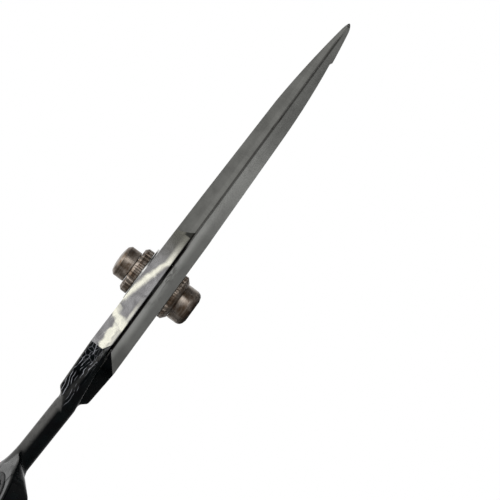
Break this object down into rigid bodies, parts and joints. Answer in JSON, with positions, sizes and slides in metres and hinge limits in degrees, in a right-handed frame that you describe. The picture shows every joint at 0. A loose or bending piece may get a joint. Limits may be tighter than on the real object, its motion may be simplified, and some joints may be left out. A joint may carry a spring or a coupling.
{
  "type": "thinning shears",
  "caption": "Hair thinning shears: straight blade over a toothed comb blade, tall pivot with tension dial, black handles with bent-down finger rings and a finger rest.",
  "frame": {"origin": "on the pivot axis, at the flat end of the pivot bolt's head; on a table the shears rest on it and on both rings, with the tips about 3 degrees up", "axes": "+X runs from the pivot to the blade tips, +Z is the pivot axis and points from the comb half to the straight half, and the thumb ring is on the -Y side"},
  "size_m": [0.1733, 0.0592, 0.0182],
  "materials": {
    "comb_steel": "satin ground steel",
    "straight_steel": "satin ground bevel with a polished ricasso",
    "black_coat": "glossy black coating",
    "insert_rubber": "matte soft rubber",
    "bumper_rubber": "matte rubber",
    "screw_steel": "turned steel",
    "bronze_steel": "turned steel with a dark bronze finish",
    "washer_plastic": "dark low-friction plastic",
    "bushing_brass": "machined brass"
  },
  "bodies": {
    "finger_half": {"comb_blade": "comb_steel", "finger_handle": "black_coat", "finger_insert": "insert_rubber", "finger_rest": "black_coat", "finger_rest_stud": "screw_steel", "pivot_bolt": "bronze_steel", "lock_collar": "bronze_steel", "lock_cap": "bronze_steel", "ride_washer": "washer_plastic", "spring_washer": "screw_steel"},
    "thumb_half": {"straight_blade": "straight_steel", "thumb_handle": "black_coat", "thumb_insert": "insert_rubber", "bumper": "bumper_rubber", "bumper_screw": "screw_steel", "pivot_bushing": "bushing_brass", "thrust_washer": "screw_steel"},
    "dial": {"tension_dial": "bronze_steel", "detent_ball": "screw_steel", "detent_spring": "screw_steel"}
  },
  "joints": [
    {"name": "blade_pivot", "type": "hinge", "parent": "finger_half", "child": "thumb_half", "pos_m": [0, 0, 0], "axis": [0, 0, 1], "range_deg": [0, 120]},
    {"name": "dial_turn", "type": "hinge", "parent": "finger_half", "child": "dial", "pos_m": [0, 0, 0], "axis": [0, 0, 1], "range_deg": [-150, 150]}
  ]
}
